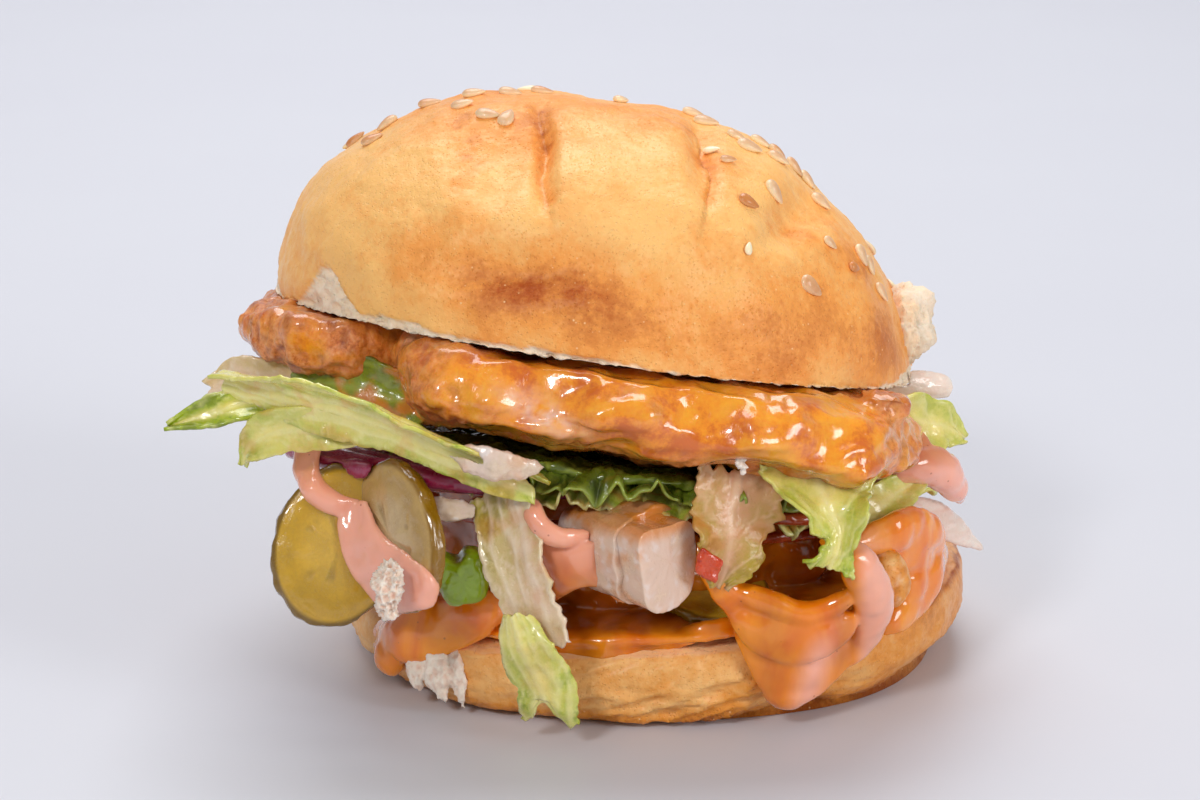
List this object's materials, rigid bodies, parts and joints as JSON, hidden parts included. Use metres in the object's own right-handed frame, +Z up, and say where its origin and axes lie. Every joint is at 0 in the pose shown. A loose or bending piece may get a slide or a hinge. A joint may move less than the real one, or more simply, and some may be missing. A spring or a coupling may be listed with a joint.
{
  "type": "chicken burger",
  "caption": "Chicken burger: domed sesame crown, glazed chicken, lettuce, onion, tomato, gherkin and thick sauce over a round heel.",
  "frame": {"origin": "centre of the heel's flat underside", "axes": "+Z up from the heel to the crown, +X to the right as the picture sees it and the object's longest way, +Y away from the camera"},
  "size_m": [0.1217, 0.1046, 0.087],
  "materials": {
    "crust": "matte baked crust",
    "heel_crust": "matte baked crust",
    "glazed_chicken": "wet glaze over fried meat",
    "lettuce": "waxy leaf",
    "dark_lettuce": "waxy leaf",
    "lettuce_rib": "waxy pale rib",
    "pickle": "wet",
    "red_onion": "wet",
    "pale_onion": "wet",
    "tomato": "wet",
    "pepper": "wet",
    "chilli": "wet",
    "orange_sauce": "glossy",
    "pink_sauce": "glossy",
    "crumb": "open bread crumb"
  },
  "bodies": {
    "root": {"crown": "crust", "heel": "heel_crust", "fillet": "glazed_chicken", "fillet_strip": "glazed_chicken", "pickle_left": "pickle", "pickle_leaning": "pickle", "pickle_flat": "pickle", "leaf_long": "lettuce", "leaf_tip": "lettuce", "leaf_lobe": "lettuce", "leaf_pale": "lettuce_rib", "leaf_hung_upper": "lettuce_rib", "leaf_hung_lower": "lettuce", "leaf_behind": "lettuce_rib", "leaf_right": "lettuce", "leaf_curl": "lettuce", "leaf_far_right": "lettuce", "leaf_dark_left": "dark_lettuce", "stem_piece": "lettuce_rib", "stem_sliver": "lettuce_rib", "stem_under_fillet": "lettuce_rib", "pepper_piece": "pepper", "chilli_piece": "chilli", "onion_sliver_low": "pale_onion", "onion_sliver_high": "pale_onion", "bread_on_sauce": "crumb", "leaf_back_0": "lettuce", "leaf_back_1": "lettuce", "leaf_back_2": "lettuce", "leaf_back_3": "lettuce", "leaf_back_4": "lettuce", "lettuce_top": "dark_lettuce", "onion_slice": "red_onion", "tomato_right": "tomato", "tomato_slice": "tomato", "lettuce_bed": "lettuce", "dressing": "orange_sauce", "sauce_ribbon_left": "pink_sauce", "sauce_on_pickles": "pink_sauce", "sauce_middle": "pink_sauce", "sauce_ribbon_right": "pink_sauce", "sauce_rim": "pink_sauce", "sauce_arm": "orange_sauce", "sauce_apron": "pink_sauce", "sauce_drip_left": "orange_sauce", "sauce_right": "orange_sauce", "sauce_drip_back": "orange_sauce"}
  },
  "joints": []
}
